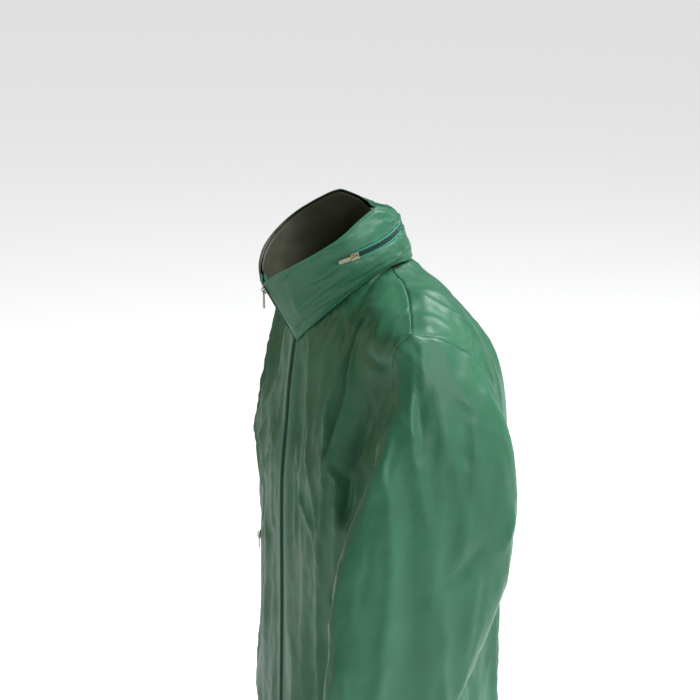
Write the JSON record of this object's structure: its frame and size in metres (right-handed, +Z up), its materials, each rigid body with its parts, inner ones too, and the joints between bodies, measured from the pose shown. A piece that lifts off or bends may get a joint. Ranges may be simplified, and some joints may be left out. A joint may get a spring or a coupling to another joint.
{
  "type": "hooded rain jacket",
  "caption": "Zip-front coated-nylon jacket with a stand collar that holds a rolled hood, set-in sleeves with elastic cuffs and zipped hand pockets.",
  "frame": {"origin": "middle of the neck at the height where the collar meets the shoulder seams, where a wearer's or a form's neck and shoulders carry the jacket", "axes": "+Z up, -Y to the front of the jacket, +X to the wearer's left"},
  "size_m": [0.6302, 0.358, 0.8405],
  "materials": {
    "coated_nylon": "satin coated plain weave",
    "lining": "matte",
    "zip_tape": "matte woven",
    "zip_teeth": "satin moulded",
    "zip_metal": "antique nickel",
    "elastic": "matte ribbed",
    "label": "satin woven, blank"
  },
  "bodies": {
    "jacket": {"back_panel": "coated_nylon", "sleeve_left": "coated_nylon", "sleeve_right": "coated_nylon", "cuff_left": "coated_nylon", "cuff_elastic_left": "elastic", "cuff_right": "coated_nylon", "cuff_elastic_right": "elastic", "hem_facing_left": "coated_nylon", "hem_facing_right": "coated_nylon", "hem_facing_back": "coated_nylon", "neck_label": "label", "collar_outer": "coated_nylon", "collar_lining": "lining", "front_zip_teeth_left": "zip_teeth", "front_zip_teeth_right": "zip_teeth", "front_zip_tape_left": "zip_tape", "front_zip_tape_right": "zip_tape", "front_zip_top_stop_left": "zip_metal", "front_zip_top_stop_right": "zip_metal", "front_zip_box": "zip_metal", "front_zip_pin": "zip_metal", "wind_flap": "coated_nylon", "hood_zip_teeth_upper": "zip_teeth", "hood_zip_teeth_lower": "zip_teeth", "hood_zip_tape_upper": "zip_tape", "hood_zip_tape_lower": "zip_tape", "hood_zip_front_stop": "zip_metal", "hood_zip_far_stop": "zip_metal", "rolled_hood": "coated_nylon", "hanging_loop": "zip_tape", "front_panel_left": "coated_nylon", "pocket_zip_tape_left": "zip_tape", "pocket_zip_teeth_left": "zip_teeth", "pocket_bag_left": "lining", "front_panel_right": "coated_nylon", "pocket_zip_tape_right": "zip_tape", "pocket_zip_teeth_right": "zip_teeth", "pocket_bag_right": "lining"},
    "front_zip_slider": {"front_zip_slider": "zip_metal"},
    "front_zip_puller": {"front_zip_puller": "zip_metal"},
    "hood_zip_slider": {"hood_zip_slider": "zip_metal"},
    "hood_zip_puller": {"hood_zip_puller": "zip_metal"},
    "pocket_zip_left_slider": {"pocket_zip_left_slider": "zip_metal"},
    "pocket_zip_left_puller": {"pocket_zip_left_puller": "zip_metal"},
    "pocket_zip_right_slider": {"pocket_zip_right_slider": "zip_metal"},
    "pocket_zip_right_puller": {"pocket_zip_right_puller": "zip_metal"}
  },
  "joints": [
    {"name": "front_zip_slide", "type": "slide", "parent": "jacket", "child": "front_zip_slider", "axis": [0, 0.494, -0.8695], "range_m": [0, 0.072]},
    {"name": "front_puller_swing", "type": "hinge", "parent": "front_zip_slider", "child": "front_zip_puller", "pos_m": [0, -0.16497, -0.05323], "axis": [-1, 0, 0], "range_deg": [-27, 140]},
    {"name": "hood_zip_slide", "type": "hinge", "parent": "jacket", "child": "hood_zip_slider", "pos_m": [0, -0.058, 0.0115], "axis": [0, -0.2924, 0.9563], "range_deg": [0, 190]},
    {"name": "hood_puller_swing", "type": "hinge", "parent": "hood_zip_slider", "child": "hood_zip_puller", "pos_m": [0.10145, -0.06717, 0.0087], "axis": [0, -0.2924, 0.9563], "range_deg": [0, 160]},
    {"name": "pocket_left_slide", "type": "slide", "parent": "jacket", "child": "pocket_zip_left_slider", "axis": [0.2151, 0.0868, -0.9727], "range_m": [0, 0.108]},
    {"name": "pocket_left_puller_swing", "type": "hinge", "parent": "pocket_zip_left_slider", "child": "pocket_zip_left_puller", "pos_m": [0.15741, -0.12116, -0.47539], "axis": [-0.8732, -0.4289, -0.2313], "range_deg": [0, 160]},
    {"name": "pocket_right_slide", "type": "slide", "parent": "jacket", "child": "pocket_zip_right_slider", "axis": [-0.2151, 0.0868, -0.9727], "range_m": [0, 0.108]},
    {"name": "pocket_right_puller_swing", "type": "hinge", "parent": "pocket_zip_right_slider", "child": "pocket_zip_right_puller", "pos_m": [-0.15741, -0.12116, -0.47539], "axis": [-0.8732, 0.4289, 0.2313], "range_deg": [0, 160]}
  ]
}
